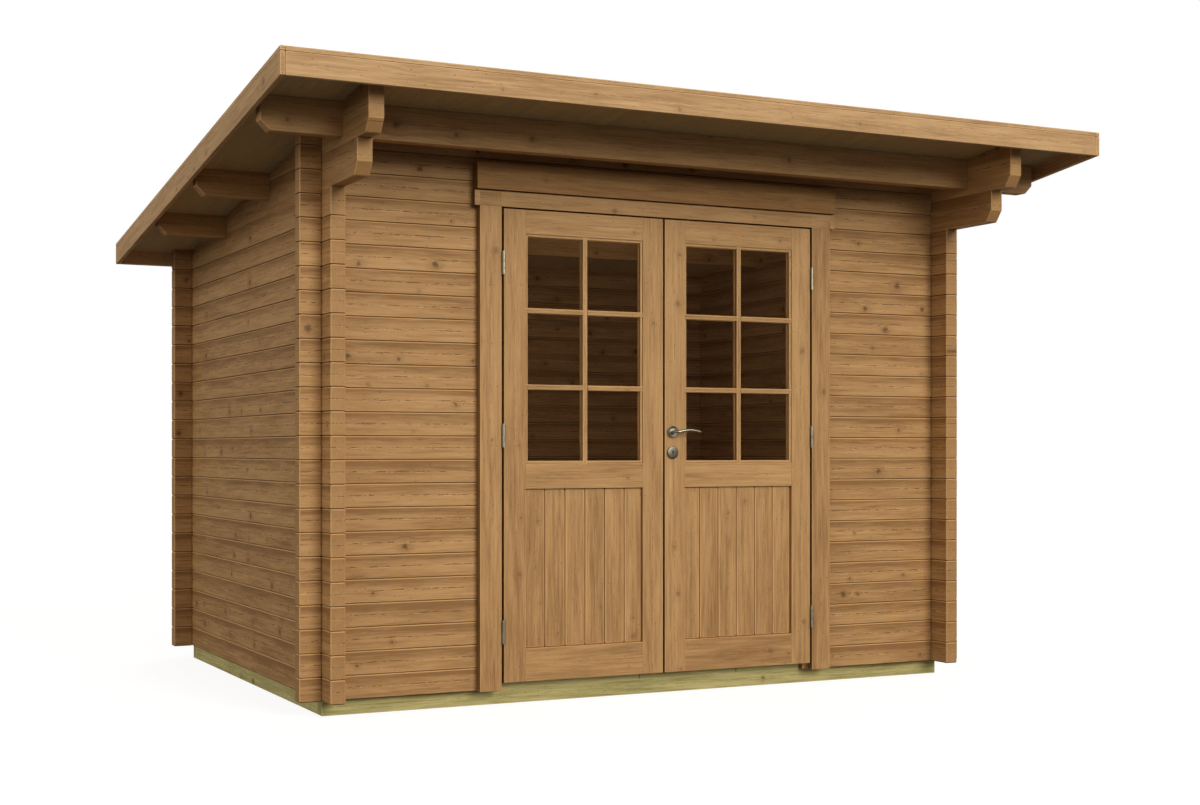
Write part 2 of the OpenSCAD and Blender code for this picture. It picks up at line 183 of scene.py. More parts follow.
class ShedStudio(bpy.types.PropertyGroup):
    """Light and camera"""

    sky: light_setting("Sky", "Brightness of the soft light round the horizon", 0.52)
    ground: light_setting("Ground", "Brightness of the fill from below", 0.12)
    key: light_setting("Key", "Strength of the key light from the front", 2.15)
    fill: light_setting("Fill", "Strength of the soft light from the left", 0.98)
    rear: light_setting("Rear", "Strength of the soft light from behind", 1.1)
    room: light_setting("Room", "Power of the glow inside", 3.6, "POWER")
    lens: FloatProperty(
        name="Lens", description="Focal length", default=51.65, unit="CAMERA", subtype="DISTANCE_CAMERA"
    )
    turn: FloatProperty(
        name="Turn", description="How far to the right of straight ahead the camera looks",
        default=math.radians(26.49), subtype="ANGLE", unit="ROTATION",
    )
    place: FloatVectorProperty(
        name="Place", description="Where the camera stands",
        default=(-3.5136, -7.5811, 1.0432), size=3, subtype="TRANSLATION", unit="LENGTH",
    )
    rise: FloatProperty(name="Rise", description="Upward shift of the lens", default=0.0394)


# ---- materials


def fill(tree, socket, value):
    """Links a socket to another one, or gives it a plain value."""
    if isinstance(value, bpy.types.NodeSocket):
        tree.links.new(value, socket)
    else:
        socket.default_value = value


def node(tree, kind, *values, output=None, stops=(), **details):
    """Adds a shader node and gives the output of that name, or the first one in use. A second word
    in kind is its operation. Values fill the inputs in use, in order. Details are inputs where
    they begin with a capital, and settings otherwise. Stops are a ramp's places and colours."""
    kind, *operation = kind.split()
    made = tree.nodes.new("ShaderNode" + kind)
    if operation:
        made.operation = operation[0]
    for key, value in details.items():
        if key[0].islower():
            setattr(made, key, value)
    for _ in stops[2:]:
        made.color_ramp.elements.new(0.5)
    for i, (place, colour) in enumerate(stops):
        made.color_ramp.elements[i].position = place
        made.color_ramp.elements[i].color = (*colour, 1)
    for socket, value in zip([s for s in made.inputs if s.enabled], values):
        fill(tree, socket, value)
    for key, value in details.items():
        if key[0].isupper():
            fill(tree, made.inputs[key.replace("_", " ")], value)
    return made.outputs[output] if output else next(s for s in made.outputs if s.enabled)


def start_material(name):
    """A new material with only its principled shader, and its node tree."""
    material = bpy.data.materials.new(name)
    material.use_nodes = True
    return material, material.node_tree


def set_shader(tree, **inputs):
    """Gives a material's principled shader its inputs. An underscore stands for a blank."""
    shader = tree.nodes["Principled BSDF"]
    for key, value in inputs.items():
        fill(tree, shader.inputs[key.replace("_", " ")], value)


# A Map Range node's setting for a change without corners
SMOOTH = {"interpolation_type": "SMOOTHSTEP"}


def blotches(add, vector, along, across, detail=3.0, roughness=0.55):
    """Noise in a board's own space, with its blotches' size along and across the grain in metres."""
    scaled = add("Mapping", vector, Scale=(1 / along, 1 / across, 1 / across))
    return add("TexNoise", scaled, 1.0, detail, roughness)


def knots_in(add, grain, share):
    """Knots 12 to 36 mm across with ragged outlines, about one in each third cell of 300 by 90 mm.
    Gives how far a point is in a knot and in the wood round it, and how far it is across from it."""
    cell = (300 * MM, 90 * MM, 1.0)
    ragged = blotches(add, grain, 14 * MM, 10 * MM, 3.0, 0.65)
    spot = add("VectorMath MULTIPLY_ADD", ragged, (30 * MM, -22 * MM, 0.0), grain)
    cells = add("VectorMath DIVIDE", spot, cell)
    knot = add("TexVoronoi", cells, 1.0, voronoi_dimensions="2D", Randomness=0.9).node.outputs
    size_chance, here_chance, _ = add("SeparateColor", knot["Color"]).node.outputs
    centre = add("VectorMath MULTIPLY", knot["Position"], cell)
    away = add("VectorMath MULTIPLY", add("VectorMath SUBTRACT", spot, centre), (1.0, 1.0, 0.0))
    radius = add("Math MULTIPLY_ADD", add("Math POWER", size_chance, 2.0), 12 * MM, 6 * MM)
    reach = add("Math DIVIDE", add("VectorMath LENGTH", away), radius)
    present = add("MapRange", here_chance, 0.55, 0.65, 0.0, share, **SMOOTH)
    core, halo = (
        add("Math MULTIPLY", add("MapRange", reach, low, high, 1.0, 0.0, **SMOOTH), present)
        for low, high in ((0.2, 1.3), (0.6, 4.5))
    )
    return core, halo, add("SeparateXYZ", away).node.outputs[1]


def rings_in(add, flow):
    """Growth rings round a pith that wanders slowly, drawn about 7 mm apart so that they show."""
    drift = blotches(add, flow, 900 * MM, 60 * MM, 2.0)
    off_pith = add("VectorMath LENGTH", add("VectorMath MULTIPLY", flow, (0.0, 1.0, 1.0)))
    turns = add("Math MULTIPLY_ADD", drift, 9.0, add("Math DIVIDE", off_pith, 7 * MM))
    wave = add("Math SINE", add("Math MULTIPLY", turns, math.tau))
    return add("Math MULTIPLY_ADD", wave, 0.5, 0.5)


def flecks_in(add, grain, across, beads, strength):
    """A broken line of pith flecks down the middle of a board: dark ones and, beside them, pale
    ones, each drawn 3 mm wide so that they show."""
    wander = blotches(add, grain, 70 * MM, 1.0, 2.0)
    off_line = add("Math ADD", across, add("Math MULTIPLY_ADD", wander, 12 * MM, -6 * MM))
    for middle, low, high in ((1.6 * MM, 0.48, 0.56), (-1.6 * MM, 0.52, 0.6)):
        away = add("Math ABSOLUTE", add("Math SUBTRACT", off_line, middle))
        line = add("MapRange", away, 0.4 * MM, 3.2 * MM, strength, 0.0, **SMOOTH)
        yield add("Math MULTIPLY", line, add("MapRange", beads, low, high, **SMOOTH))


def pins_in(add, grain, beads):
    """Pin knots 2 to 6 mm long, drawn out along the grain."""
    cells = add("Mapping", grain, Scale=(1 / (60 * MM), 1 / (26 * MM), 1.0))
    pin = add("TexVoronoi", cells, 1.0, voronoi_dimensions="2D").node.outputs
    chance = add("SeparateColor", pin["Color"])
    away = add("Math MULTIPLY_ADD", beads, 0.1, pin["Distance"])
    dot = add("MapRange", away, 0.06, 0.14, 1.0, 0.0, **SMOOTH)
    return add("Math MULTIPLY", dot, add("MapRange", chance, 0.7, 0.8, 0.0, 0.8, **SMOOTH))


def softwood(name, tints, knots=1.0, roughness=0.62, dark_top=0.0, flecks=0.4):
    """Planed softwood. Reads each board's own grain and tone attributes, and its wear attribute, which
    also carries painted light, so the grain follows the board. That attribute holds dark joints with
    painted shade, painted shade on narrow sides, pale edges that are partly wear and partly a painted
    highlight, and end grain. Dark_top darkens each board towards its upper edge, and flecks sets how plain
    the broken line down its middle is."""
    light, mid, dark, knot = tints
    material, tree = start_material(name)
    add = partial(node, tree)
    grain = add("Attribute", attribute_name="grain", output="Vector")
    wear = add("Attribute", attribute_name="wear", output="Vector")
    board_tone = add("Attribute", attribute_name="tone", output="Fac")
    # Painted shade in joints and on narrow sides, pale edges that are partly wear and partly a painted
    # highlight, and end grain
    joint_and_painted_shade, wear_and_painted_highlight, end_grain = add("SeparateXYZ", wear).node.outputs
    along, across, through = add("SeparateXYZ", grain).node.outputs

    # The grain runs round the knots
    knot_core, knot_halo, off_knot = knots_in(add, grain, knots)
    bend = add("Math MULTIPLY", add("Math MULTIPLY", off_knot, knot_halo), 0.6)
    flow = add("CombineXYZ", along, add("Math SUBTRACT", across, bend), through)

    # Each figure adds to the shade about its own middle, by its own weight
    shade = 0.5
    for figure, weight in (
        (blotches(add, flow, 420 * MM, 60 * MM), 0.45),
        (blotches(add, flow, 260 * MM, 13 * MM, 4.0, 0.6), 0.62),
        (blotches(add, flow, 50 * MM, 2.5 * MM, 3.0, 0.65), 0.36),
        (rings_in(add, flow), 0.07),
        (board_tone, 0.11),
    ):
        shade = add("Math ADD", add("Math MULTIPLY_ADD", figure, weight, -weight / 2), shade)
    # Darker towards each board's upper edge
    top_edge = add("MapRange", across, 0.0, 40 * MM, 0.1 * dark_top, -0.9 * dark_top, **SMOOTH)
    shade = add("Math ADD", shade, top_edge)
    # End grain is evenly dark
    even = add("Math MULTIPLY", end_grain, 0.7)
    shade = add("Math MULTIPLY_ADD", add("Math SUBTRACT", 0.44, shade), even, shade)
    # Painted shade: darker towards the ground over the lowest metre
    level = add("SeparateXYZ", add("TexCoord", output="Object")).node.outputs[2]
    shade = add("Math ADD", shade, add("MapRange", level, 0.1, 1.1, -0.06, 0.0, **SMOOTH))
    colour = add("ValToRGB", shade, stops=[(0.24, dark), (0.52, mid), (0.78, light)])

    beads = blotches(add, grain, 30 * MM, 6 * MM, 3.0, 0.65)
    dark_fleck, pale_fleck = flecks_in(add, grain, across, beads, flecks)
    pin = pins_in(add, grain, beads)
    deep = [c * 0.3 for c in dark]
    pale = [min(c * 1.35, 1.0) for c in light]
    # The wood's own knots, flecks and pins, then pale edges, partly wear and partly a painted highlight,
    # then dark joints with painted shade and painted shade on narrow sides
    for amount, strength, toward in (
        (knot_halo, 0.4, dark),
        (pale_fleck, 0.55, pale),
        (dark_fleck, 0.95, knot),
        (pin, 1.0, knot),
        (knot_core, 0.85, knot),
        (wear_and_painted_highlight, 0.62, pale),
        (joint_and_painted_shade, 0.75, deep),
    ):
        share = add("Math MULTIPLY", amount, strength)
        colour = add("Mix", share, colour, (*toward, 1), data_type="RGBA")

    fibre = blotches(add, flow, 60 * MM, 1.6 * MM, 3.0, 0.6)
    height = add("Math SUBTRACT", fibre, add("Math MULTIPLY", pin, 0.5))
    set_shader(
        tree,
        Base_Color=colour,
        Roughness=add("Math MULTIPLY_ADD", fibre, 0.16, roughness - 0.08),
        Normal=add("Bump", Strength=0.5, Distance=0.5 * MM, Height=height),
        Specular_IOR_Level=0.32,
    )
    return material


def roofing_felt(name, colour):
    """Bitumen felt: slate granules pressed into it, and soft weather marks."""
    material, tree = start_material(name)
    add = partial(node, tree)
    place = add("TexCoord", output="Object")
    # Granules drawn 3 mm wide, coarser than real ones, so that they show
    grit = add("TexVoronoi", place, 1 / (3 * MM)).node.outputs
    marks = add("TexNoise", place, 2.2, 4.0)
    granule = add("SeparateColor", grit["Color"])
    value = add("Math MULTIPLY_ADD", granule, 0.5, add("Math MULTIPLY", marks, 0.5))
    pale = [c * 1.9 + 0.02 for c in colour]
    deep = [c * 0.5 for c in colour]
    set_shader(
        tree,
        Base_Color=add("ValToRGB", value, stops=[(0.15, deep), (0.5, colour), (0.85, pale)]),
        Normal=add("Bump", Strength=0.7, Distance=1 * MM, Height=grit["Distance"]),
        Roughness=0.92,
    )
    return material


def satin_steel(name, colour):
    """Stainless steel with fine brushing, which blurs what it mirrors and varies its shine."""
    material, tree = start_material(name)
    add = partial(node, tree)
    place = add("TexCoord", output="Object")
    # Brush lines drawn 0.4 mm apart and 12 mm long
    lines = blotches(add, place, 12 * MM, 0.4 * MM, 2.0, 0.5)
    marks = add("TexNoise", place, 45.0, 3.0)
    deep = [c * 0.72 for c in colour]
    set_shader(
        tree,
        Base_Color=add("ValToRGB", marks, stops=[(0.3, deep), (0.65, colour)]),
        Roughness=add("Math MULTIPLY_ADD", lines, 0.18, 0.26),
        Normal=add("Bump", Strength=0.2, Distance=0.05 * MM, Height=lines),
        Metallic=1.0,
    )
    return material


def float_glass(name, colour):
    """Clear glass with a very faint smear that varies its gloss."""
    material, tree = start_material(name)
    place = node(tree, "TexCoord", output="Object")
    smear = node(tree, "TexNoise", place, 5.0, 3.0)
    rough = node(tree, "Math MULTIPLY", smear, 0.004)
    set_shader(
        tree, Base_Color=(*colour, 1), Roughness=rough, Transmission_Weight=1.0, IOR=GLASS_INDEX
    )
    return material


def tone(key):
    """One colour of the finish settings."""
    return list(getattr(bpy.context.scene.shed_finish, key))


def tints(wood):
    """A wood's light, middle and dark colours, and its knots' colour."""
    return [tone(f"{wood}_light"), tone(f"{wood}_mid"), tone(f"{wood}_dark"), tone("knot")]


def shade_darkened_tints():
    """Painted shade: the stain's colours darker, and darker still in green and blue, for a board that sits
    in the roof's shadow.
    """
    *shades, knot = tints("stain")
    shadow_darkening = (0.78, 0.70, 0.54)
    return [[c * part for c, part in zip(shade, shadow_darkening)] for shade in shades] + [knot]


def floor_tints():
    """Bare spruce: one colour with paler and darker grain."""
    return [[c * part for c in tone("floor")] for part in (1.15, 1.0, 0.75)] + [tone("knot")]


FINISHES = {
    # Planed logs under a thin brown stain: warm and matt, darker along each log's upper edge, with knots
    # and a broken line of flecks
    "stained_spruce_logs": lambda name: softwood(name, tints("stain"), dark_top=0.22, flecks=1.0),
    # Sawn and planed beams under the same stain, with fewer flecks
    "stained_spruce_beams": lambda name: softwood(name, tints("stain"), knots=0.8, flecks=0.6),
    # Planed and sanded joinery under the same stain: a little smoother, with few knots
    "stained_spruce_boards": lambda name: softwood(name, tints("stain"), knots=0.55, roughness=0.58),
    # Painted shade for the drip board under the eaves: dark brown, its grain barely showing
    "deep_stained_spruce": lambda name: softwood(name, shade_darkened_tints(), knots=0.55),
    # Fascias under a thinner stain: pale and golden
    "pale_stained_spruce": lambda name: softwood(name, tints("pale"), knots=0.6),
    # Roof boards that the sun never reaches: even, greyish brown, quiet in grain
    "shaded_roof_spruce": lambda name: softwood(name, tints("soffit"), knots=0.4, flecks=0.0),
    # Bare floor boards: yellowish, with plain grain
    "unstained_spruce_floor": lambda name: softwood(name, floor_tints()),
    # Pine steeped in preservative: greenish, dry and rough
    "pressure_treated_pine": lambda name: softwood(name, tints("treated"), roughness=0.7),
    # Felt faced with slate granules: dark grey, quite without shine
    "mineral_roofing_felt": lambda name: roofing_felt(name, tone("felt")),
    # Brushed steel: a warm grey with soft highlights
    "satin_stainless_steel": lambda name: satin_steel(name, tone("steel")),
    # Painted shade: the same steel at half its brightness, which keeps the keyhole plates from shining
    # with the key light
    "dull_stainless_steel": lambda name: satin_steel(name, [c * 0.45 for c in tone("steel")]),
    # Window glass: clear, with the dark room behind it
    "clear_float_glass": lambda name: float_glass(name, tone("glass")),
}


def finish(name):
    """The material of that name, made the first time it is asked for."""
    return bpy.data.materials.get(name) or FINISHES[name](name)


# ---- timber working


def cad_solid(cad_node):
    """A CAD node's solid, its loose triangles joined into flat faces."""
    bm = bmesh.new()
    bm.from_mesh(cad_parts[cad_node].data)
    bmesh.ops.remove_doubles(bm, verts=bm.verts, dist=WELD)
    bmesh.ops.dissolve_limit(bm, angle_limit=FLAT_ANGLE, verts=bm.verts, edges=bm.edges)
    return bm


def cut_off(bm, point, way):
    """Saws off what lies beyond a plane, in the direction way, and closes the cut."""
    geom = [*bm.verts, *bm.edges, *bm.faces]
    cut = bmesh.ops.bisect_plane(
        bm, geom=geom, dist=WELD, plane_co=point, plane_no=way, clear_outer=True
    )
    rim = [part for part in cut["geom_cut"] if isinstance(part, bmesh.types.BMEdge)]
    bmesh.ops.holes_fill(bm, edges=rim, sides=0)


def round_over(bm, edges, width, steps=2):
    """Rounds some edges, or chamfers them in one step. Gives the new faces."""
    return bmesh.ops.bevel(
        bm, geom=edges, offset=width, offset_type="OFFSET", segments=steps,
        profile=0.5, affect="EDGES", clamp_overlap=True, material=-1,
    )["faces"]


def ease(bm, width, steps=2):
    """Rounds a solid's sharp edges, apart from those that end where there is no room for it."""
    bmesh.ops.recalc_face_normals(bm, faces=bm.faces)
    short = {v for e in bm.edges if e.calc_length() < ROOM_TO_ROUND * width for v in e.verts}
    sharp = []
    for e in bm.edges:
        if e.is_manifold and e.calc_face_angle(0) > SHARP_ANGLE and not short.intersection(e.verts):
            sharp.append(e)
    return round_over(bm, sharp, width, steps)


def islands(bm):
    """The vertices of each separate solid, in the mesh's own order."""
    seen = set()
    for start in bm.verts:
        if start in seen:
            continue
        seen.add(start)
        found = [start]
        for here in found:
            for edge in here.link_edges:
                there = edge.other_vert(here)
                if there not in seen:
                    seen.add(there)
                    found.append(there)
        yield found


def add_wood_layers(bm):
    """Adds what the softwood finishes read: grain and tone by point, and wear with painted light and shade
    by face corner.
    """
    bm.verts.layers.float_vector.new("grain")
    bm.verts.layers.float.new("tone")
    bm.loops.layers.float_vector.new("wear")


def mark_grain(bm, verts, lie, dice):
    """Gives a board its own run of grain."""
    along, face = lie
    across = face.cross(along)
    grain = bm.verts.layers.float_vector["grain"]
    tone_layer = bm.verts.layers.float["tone"]
    low = [min(v.co[i] for v in verts) for i in range(3)]
    high = [max(v.co[i] for v in verts) for i in range(3)]
    middle = (Vector(low) + Vector(high)) / 2
    start = dice.uniform(0, 60)
    pith = dice.uniform(25, 70) * MM
    shade = dice.random()
    for v in verts:
        p = v.co - middle
        v[grain] = (p.dot(along) + start, p.dot(across), p.dot(face) + pith)
        v[tone_layer] = shade


def mark_wear_and_painted_light(bm, along, eased, joints, shade):
    """Marks each face corner with painted shade, with paleness and with end grain, from 0 to 1 each. At a
    joint the chamfer that looks back along the cut's direction is painted dark, a dark joint with painted
    shade over it, and the other is painted pale as a painted highlight. Shade sets the painted shade on
    the narrow sides that look sideways or down, and eased edges are painted pale, partly as wear and
    partly as a painted highlight."""
    wear = bm.loops.layers.float_vector["wear"]
    eased = set(eased)
    planes = [(way, place) for way, places in joints for place in places]
    bm.normal_update()
    for f in bm.faces:
        end = float(abs(f.normal.dot(along)) > LEAST_END_GRAIN)
        touched = [
            way for way, place in planes if any(abs(v.co.dot(way) - place) < ON_CUT for v in f.verts)
        ]
        if touched:
            # Painted shade on the chamfer that looks back along the cut, over a dark joint, and a painted
            # highlight on the other
            dark = float(f.normal.dot(touched[0]) < 0)
            wear_and_painted_highlight = 1.0 - dark
        else:
            # Painted shade on narrow sides that look sideways or down
            dark = shade if abs(f.normal.x) > FACING or f.normal.z < -FACING else 0.0
            # Eased edges painted pale, partly wear and partly a painted highlight
            wear_and_painted_highlight = EASED_WEAR_AND_HIGHLIGHT if f in eased else 0.0
        for loop in f.loops:
            loop[wear] = (dark, wear_and_painted_highlight, end)


def dress(board, lie, dice, edge, joints=(), matched=False, steps=2, shade=0.0, moulded=False):
    """Rounds a board's edges and marks its grain, its wear and its painted light and shade. All slanted
    faces of a moulding are painted pale, partly as wear and partly as a painted highlight. Matched solids
    of one slice share one run of grain, as one log does on both sides of a corner."""
    add_wood_layers(board)
    eased = ease(board, edge, steps)
    for verts in [list(board.verts)] if matched else islands(board):
        mark_grain(board, verts, lie, dice)
    if moulded:
        eased = [f for f in board.faces if max(abs(part) for part in f.normal) < FLAT_ON]
    mark_wear_and_painted_light(board, lie[0], eased, joints, shade)


def mesh_of(name, bm):
    """A bmesh's own mesh."""
    mesh = bpy.data.meshes.new(name)
    bm.to_mesh(mesh)
    bm.free()
    return mesh


def add_object(name, data):
    """A new object in the scene, at the origin."""
    thing = bpy.data.objects.new(name, data)
    bpy.context.scene.collection.objects.link(thing)
    return thing


def join(target, part):
    """Adds a finished part to a piece's mesh."""
    mesh = mesh_of("part", part)
    target.from_mesh(mesh)
    bpy.data.meshes.remove(mesh)


def saw(cad_node, cuts):
    """A CAD node's solid cut into boards. Cuts are pairs of a direction and the places along it."""
    boards = [cad_solid(cad_node)]
    for way, places in cuts:
        ends = [None, *places, None]
        parts = []
        for stock in boards:
            for low, high in zip(ends, ends[1:]):
                part = stock.copy()
                if low is not None:
                    cut_off(part, way * low, -way)
                if high is not None:
                    cut_off(part, way * high, way)
                if part.verts:
                    parts.append(part)
                else:
                    part.free()
            stock.free()
        boards = parts
    return boards


def place_piece(name, bm, stuff, body="root", stands_for=(), smooth=None):
    """Turns a mesh into a piece of the shed, riding on its body and standing for its CAD nodes.
    It is shaded smooth where its faces meet at less than the angle smooth, given in degrees."""
    if not bm.faces:
        raise RuntimeError(f"{name} has no faces")
    finish_name, slot = stuff
    mesh = mesh_of(name, bm)
    mesh.materials.append(finish(finish_name))
    if smooth:
        mesh.shade_smooth()
        mesh.set_sharp_from_angle(angle=math.radians(smooth))
    piece = add_object(name, mesh)
    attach(piece, body)
    if stands_for:
        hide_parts(*stands_for)


def timber(name, cad_node, lie, stuff, edge, body="root", cuts=(), joints=(), **dressing):
    """A piece made from one CAD node: cut into boards, with eased edges and grain.
    Joints are the cuts and any other places where the piece meets its neighbours."""
    dice = random.Random(name)
    made = bmesh.new()
    add_wood_layers(made)
    for board in saw(cad_node, cuts):
        dress(board, lie, dice, edge, joints or cuts, **dressing)
        join(made, board)
    place_piece(name, made, stuff, body, [cad_node])


def stops(low, high, step):
    """Evenly spaced places between two ends, without the ends."""
    count = round((high - low) / step)
    return [low + (high - low) * i / count for i in range(1, count)]


def block(low, high):
    """A box between two corners, in a mesh of its own."""
    bm = bmesh.new()
    low, high = Vector(low), Vector(high)
    bmesh.ops.create_cube(bm, size=1.0)
    bmesh.ops.scale(bm, vec=high - low, verts=bm.verts)
    bmesh.ops.translate(bm, vec=(low + high) / 2, verts=bm.verts)
    return bm


def rod(start, end, radius, edge=0.0, sides=24):
    """A round bar between two points, with eased ends, in a mesh of its own."""
    bm = bmesh.new()
    start, end = Vector(start), Vector(end)
    turned = UP.rotation_difference((end - start).normalized()).to_matrix().to_4x4()
    place = Matrix.Translation((start + end) / 2) @ turned
    depth = (end - start).length
    bmesh.ops.create_cone(
        bm, cap_ends=True, segments=sides, radius1=radius, radius2=radius, depth=depth, matrix=place
    )
    if edge:
        round_over(bm, [e for e in bm.edges if e.calc_face_angle(0) > RIM_ANGLE], edge)
    return bm


class ShedPiece:
    """What every operator of this add-on shares."""

    bl_options = {"REGISTER", "UNDO"}

    @property
    def sizes(self):
        return bpy.context.scene.shed_joinery


# ---- base and floor


class SHED_OT_base(ShedPiece, bpy.types.Operator):
    """Make the treated base beams and floor joists"""

    bl_idname = "shed.base"
    bl_label = "Base beams"

    def execute(self, context):
        for name, cad_node, lie in (
            ("front_base_timber", "base_front_beam", LEVEL_FRONT),
            ("back_base_timber", "base_back_beam", (RIGHT, BACK)),
            ("side_base_timbers", "base_side_beams", DEEP_SIDE),
            ("joist_timbers", "floor_joists", DEEP_SIDE),
        ):
            timber(name, cad_node, lie, TREATED, self.sizes.beam_edge)
        return {"FINISHED"}


class SHED_OT_floor(ShedPiece, bpy.types.Operator):
    """Make the tongued and grooved floor boards"""

    bl_idname = "shed.floor"
    bl_label = "Floor boards"

    edge = 1 * MM

    def execute(self, context):
        low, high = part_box("floor_boards")
        cuts = [(BACK, stops(low.y, high.y, self.sizes.floor_board))]
        timber("floor_planks", "floor_boards", LEVEL_TOP, FLOOR_BOARD, self.edge, cuts=cuts)
        return {"FINISHED"}


# ---- walls


class SHED_OT_walls(ShedPiece, bpy.types.Operator):
    """Make the log walls, one course at a time"""

    bl_idname = "shed.walls"
    bl_label = "Log walls"

    least_course = 30 * MM

    def execute(self, context):
        log = self.sizes.log_height
        for name, cad_node, lie in (
            ("left_wall_logs", "left_wall", (FRONT, -RIGHT)),
            ("right_wall_logs", "right_wall", DEEP_SIDE),
            ("back_wall_logs", "back_wall", (-RIGHT, BACK)),
            ("front_left_logs", "front_wall_left", LEVEL_FRONT),
            ("front_right_logs", "front_wall_right", LEVEL_FRONT),
            ("front_top_logs", "front_wall_top", LEVEL_FRONT),
        ):
            low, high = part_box(cad_node)
            courses = int((high.z - low.z - self.least_course) / log)
            cuts = [low.z + log * i for i in range(1, courses + 1)]
            # At each course joint the upper log's lower chamfer gets painted shade and the lower log's
            # upper chamfer a painted highlight
            timber(
                name, cad_node, lie, LOG, self.sizes.log_joint,
                cuts=[(UP, cuts)], joints=[(UP, [low.z, *cuts, high.z])], matched=True, steps=1,
            )
        return {"FINISHED"}


class SHED_OT_corbels(ShedPiece, bpy.types.Operator):
    """Make the corbel logs that carry the roof over the door"""

    bl_idname = "shed.corbels"
    bl_label = "Corbel logs"

    def execute(self, context):
        for part in ("lower", "upper"):
            names = (f"{part}_corbels", f"{part}_corbel_logs")
            timber(*names, DEEP_SIDE, LOG, self.sizes.beam_edge, steps=1)
        return {"FINISHED"}


# ---- roof


class SHED_OT_roof_timbers(ShedPiece, bpy.types.Operator):
    """Make the purlins and the roof boards over them"""

    bl_idname = "shed.roof_timbers"
    bl_label = "Purlins and roof boards"

    def execute(self, context):
        for part in ("front", "middle", "rear"):
            names = (f"{part}_purlin_beam", f"{part}_purlin")
            timber(*names, LEVEL_FRONT, PURLIN, self.sizes.beam_edge, steps=1)
        low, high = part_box("roof_boards")
        lie = (ROOF_ALONG, -ROOF_UP)
        cuts = [(RIGHT, stops(low.x, high.x, self.sizes.roof_board))]
        timber("roof_planks", "roof_boards", lie, ROOF_BOARD, ARRIS, cuts=cuts)
        return {"FINISHED"}


class SHED_OT_fascias(ShedPiece, bpy.types.Operator):
    """Make the fascias with the strip along their top edge"""

    bl_idname = "shed.fascias"
    bl_label = "Fascias"

    def execute(self, context):
        low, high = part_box("front_fascia")
        top = ROOF_UP.dot(Vector((0, low.y, high.z)))
        strip = (ROOF_UP, [top - self.sizes.top_strip])
        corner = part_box("side_fascias")[1].x - (high.y - low.y)
        corners = (RIGHT, [-corner, corner])
        for side, cad_node, lie, cuts in (
            ("front", "front_fascia", LEVEL_FRONT, [strip, corners]),
            ("back", "back_fascia", (RIGHT, BACK), [strip, corners]),
            ("side", "side_fascias", (ROOF_ALONG, RIGHT), [strip]),
        ):
            edge = self.sizes.board_joint
            timber(f"{side}_fascia_boards", cad_node, lie, FASCIA, edge, cuts=cuts)
        return {"FINISHED"}


class SHED_OT_felt(ShedPiece, bpy.types.Operator):
    """Make the roofing felt in lapped sheets, with its nails"""

    bl_idname = "shed.felt"
    bl_label = "Roofing felt"

    sheets = 3
    lap_t = 2.5 * MM
    lap_sunk = 1 * MM
    lap_edge = 1 * MM
    side_margin = 2 * MM
    nail_r = 5 * MM
    nail_t = 1 * MM
    nail_edge = 0.3 * MM
    nail_step = 150 * MM

    def execute(self, context):
        low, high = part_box("roof_felt")
        felt = cad_solid("roof_felt")
        ease(felt, ARRIS)
        slope = Matrix.Rotation(-ROOF_PITCH, 4, "X")
        run = (high.y - low.y) / math.cos(ROOF_PITCH)
        top = Vector(((low.x + high.x) / 2, low.y, high.z))
        half = self.sizes.felt_lap / 2
        span = (high.x - low.x) / 2 - self.side_margin
        nails = bmesh.new()
        for sheet in range(1, self.sheets):
            at = top + ROOF_ALONG * (run * sheet / self.sheets)
            lap = block((-span, -half, -self.lap_sunk), (span, half, self.lap_t))
            ease(lap, self.lap_edge)
            bmesh.ops.transform(lap, matrix=Matrix.Translation(at) @ slope, verts=lap.verts)
            join(felt, lap)
            for x in stops(-span, span, self.nail_step):
                foot = at + RIGHT * x + ROOF_ALONG * (half / 2) + ROOF_UP * self.lap_t
                join(nails, rod(foot, foot + ROOF_UP * self.nail_t, self.nail_r, self.nail_edge, 10))
        place_piece("felt_sheets", felt, FELT, stands_for=["roof_felt"])
        place_piece("felt_nails", nails, SATIN)
        return {"FINISHED"}


# ---- door frame


class SHED_OT_door_frame(ShedPiece, bpy.types.Operator):
    """Make the door's jambs, head, threshold, trims and drip board"""

    bl_idname = "shed.door_frame"
    bl_label = "Door frame"

    def execute(self, context):
        sizes = self.sizes
        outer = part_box("door_side_trims")[1].x
        inner = outer - sizes.trim_width
        corners = [(-RIGHT, [-outer, -inner, inner, outer])]
        # Each row: name, CAD node, lie, finish and slot, edge, painted shade on the narrow sides, and cuts
        for name, cad_node, lie, stuff, edge, shade, cuts in (
            ("jamb_posts", "door_jambs", UPRIGHT_FRONT, FRAME_BOARD, sizes.board_edge, 0.35, ()),
            ("frame_head_beam", "door_frame_head", LEVEL_FRONT, FRAME_BOARD, sizes.board_edge, 0.0, ()),
            ("side_trim_boards", "door_side_trims", UPRIGHT_FRONT, FRAME_BOARD, sizes.board_edge, 0.8, ()),
            ("head_trim_boards", "door_head_trim", LEVEL_FRONT, FRAME_BOARD, ARRIS, 0.8, corners),
            ("drip_board", "door_drip_board", LEVEL_FRONT, DRIP_BOARD, sizes.board_edge, 0.6, ()),
            ("threshold_sill", "door_threshold", LEVEL_TOP, TREATED, sizes.beam_edge, 0.0, ()),
        ):
            timber(name, cad_node, lie, stuff, edge, cuts=cuts, shade=shade)
        return {"FINISHED"}


# ---- door leaves


